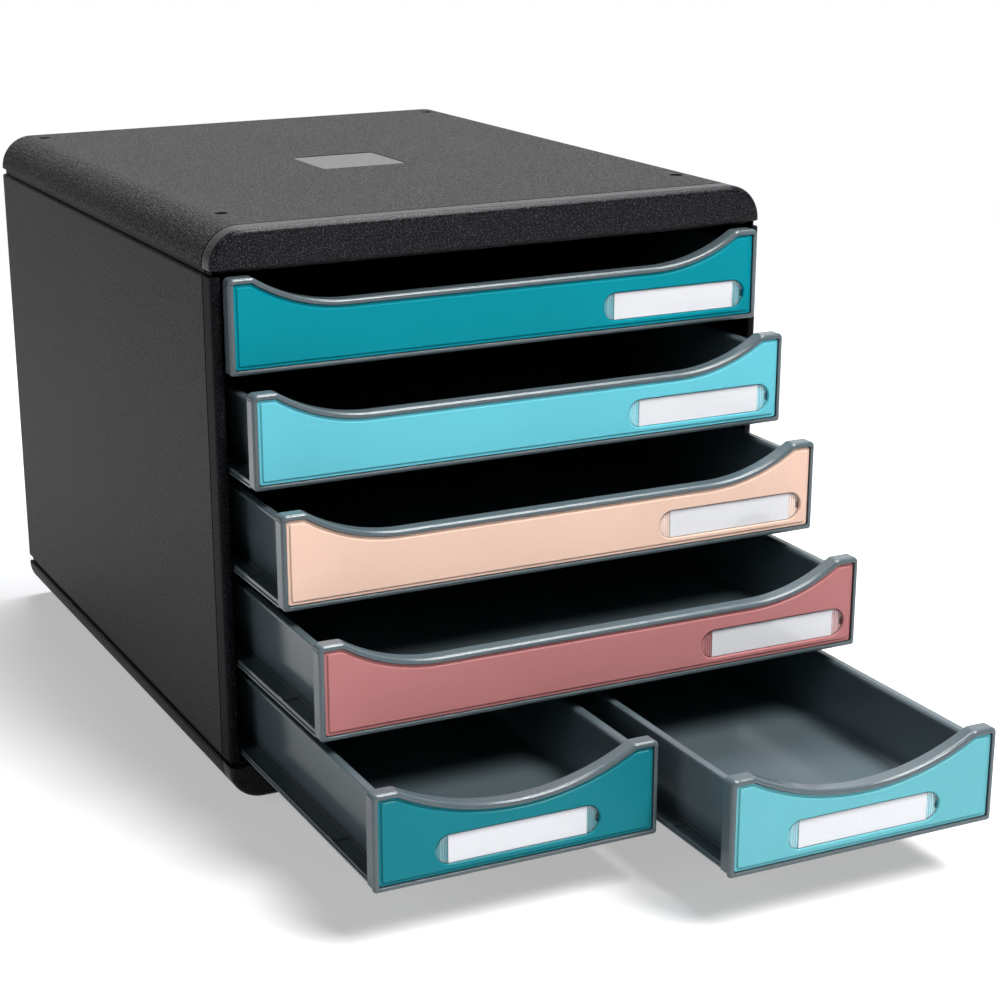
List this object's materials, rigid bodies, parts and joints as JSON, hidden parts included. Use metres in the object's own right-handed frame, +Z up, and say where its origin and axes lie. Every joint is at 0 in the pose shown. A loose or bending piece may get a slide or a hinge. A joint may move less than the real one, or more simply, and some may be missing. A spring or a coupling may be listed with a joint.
{
  "type": "desktop mini drawers",
  "caption": "Dark rounded desktop cabinet of full width and half width sliding drawers, with scooped smoke-grey fronts, coloured plates and label windows.",
  "frame": {"origin": "under the middle of the whole object as it stands with its drawers part open, on the surface it rests on", "axes": "+X to the right in the front view, +Y towards the back so the drawers open towards -Y, +Z up"},
  "size_m": [0.278, 0.5516, 0.271],
  "materials": {
    "case_shell": "fine sand texture",
    "case_front": "coarse sand texture",
    "case_inside": "plain moulded",
    "badge_silver": "satin",
    "foot_rubber": "matt",
    "tray_grey": "half gloss",
    "plate_teal": "half gloss",
    "plate_turquoise": "half gloss",
    "plate_peach": "half gloss",
    "plate_rose": "half gloss",
    "plate_petrol": "half gloss",
    "plate_sky": "half gloss",
    "label_paper": "matt paper",
    "label_cover": "clear"
  },
  "bodies": {
    "case": {"top_shell": "case_shell", "top_fascia": "case_front", "badge_plate": "badge_silver", "side_panel_left": "case_shell", "side_panel_right": "case_shell", "front_post_left": "case_front", "front_post_right": "case_front", "base_shell": "case_shell", "base_fascia": "case_front", "back_panel": "case_inside", "runners_left": "case_inside", "runners_right": "case_inside", "mini_bay_divider": "case_inside", "rubber_feet": "foot_rubber"},
    "top_drawer": {"top_drawer_tray": "tray_grey", "top_drawer_front_frame": "tray_grey", "top_drawer_front_plate": "plate_teal", "top_drawer_label_paper": "label_paper", "top_drawer_label_cover": "label_cover"},
    "second_drawer": {"second_drawer_tray": "tray_grey", "second_drawer_front_frame": "tray_grey", "second_drawer_front_plate": "plate_turquoise", "second_drawer_label_paper": "label_paper", "second_drawer_label_cover": "label_cover"},
    "third_drawer": {"third_drawer_tray": "tray_grey", "third_drawer_front_frame": "tray_grey", "third_drawer_front_plate": "plate_peach", "third_drawer_label_paper": "label_paper", "third_drawer_label_cover": "label_cover"},
    "fourth_drawer": {"fourth_drawer_tray": "tray_grey", "fourth_drawer_front_frame": "tray_grey", "fourth_drawer_front_plate": "plate_rose", "fourth_drawer_label_paper": "label_paper", "fourth_drawer_label_cover": "label_cover"},
    "left_mini_drawer": {"left_mini_drawer_tray": "tray_grey", "left_mini_drawer_front_frame": "tray_grey", "left_mini_drawer_front_plate": "plate_petrol", "left_mini_drawer_label_paper": "label_paper", "left_mini_drawer_label_cover": "label_cover"},
    "right_mini_drawer": {"right_mini_drawer_tray": "tray_grey", "right_mini_drawer_front_frame": "tray_grey", "right_mini_drawer_front_plate": "plate_sky", "right_mini_drawer_label_paper": "label_paper", "right_mini_drawer_label_cover": "label_cover"}
  },
  "joints": [
    {"name": "top_drawer_slide", "type": "slide", "parent": "case", "child": "top_drawer", "axis": [0, -1, 0], "range_m": [-0.0049, 0.2376]},
    {"name": "second_drawer_slide", "type": "slide", "parent": "case", "child": "second_drawer", "axis": [0, -1, 0], "range_m": [-0.0298, 0.2127]},
    {"name": "third_drawer_slide", "type": "slide", "parent": "case", "child": "third_drawer", "axis": [0, -1, 0], "range_m": [-0.0598, 0.1827]},
    {"name": "fourth_drawer_slide", "type": "slide", "parent": "case", "child": "fourth_drawer", "axis": [0, -1, 0], "range_m": [-0.0985, 0.144]},
    {"name": "left_mini_drawer_slide", "type": "slide", "parent": "case", "child": "left_mini_drawer", "axis": [0, -1, 0], "range_m": [-0.1515, 0.091]},
    {"name": "right_mini_drawer_slide", "type": "slide", "parent": "case", "child": "right_mini_drawer", "axis": [0, -1, 0], "range_m": [-0.2025, 0.04]}
  ]
}
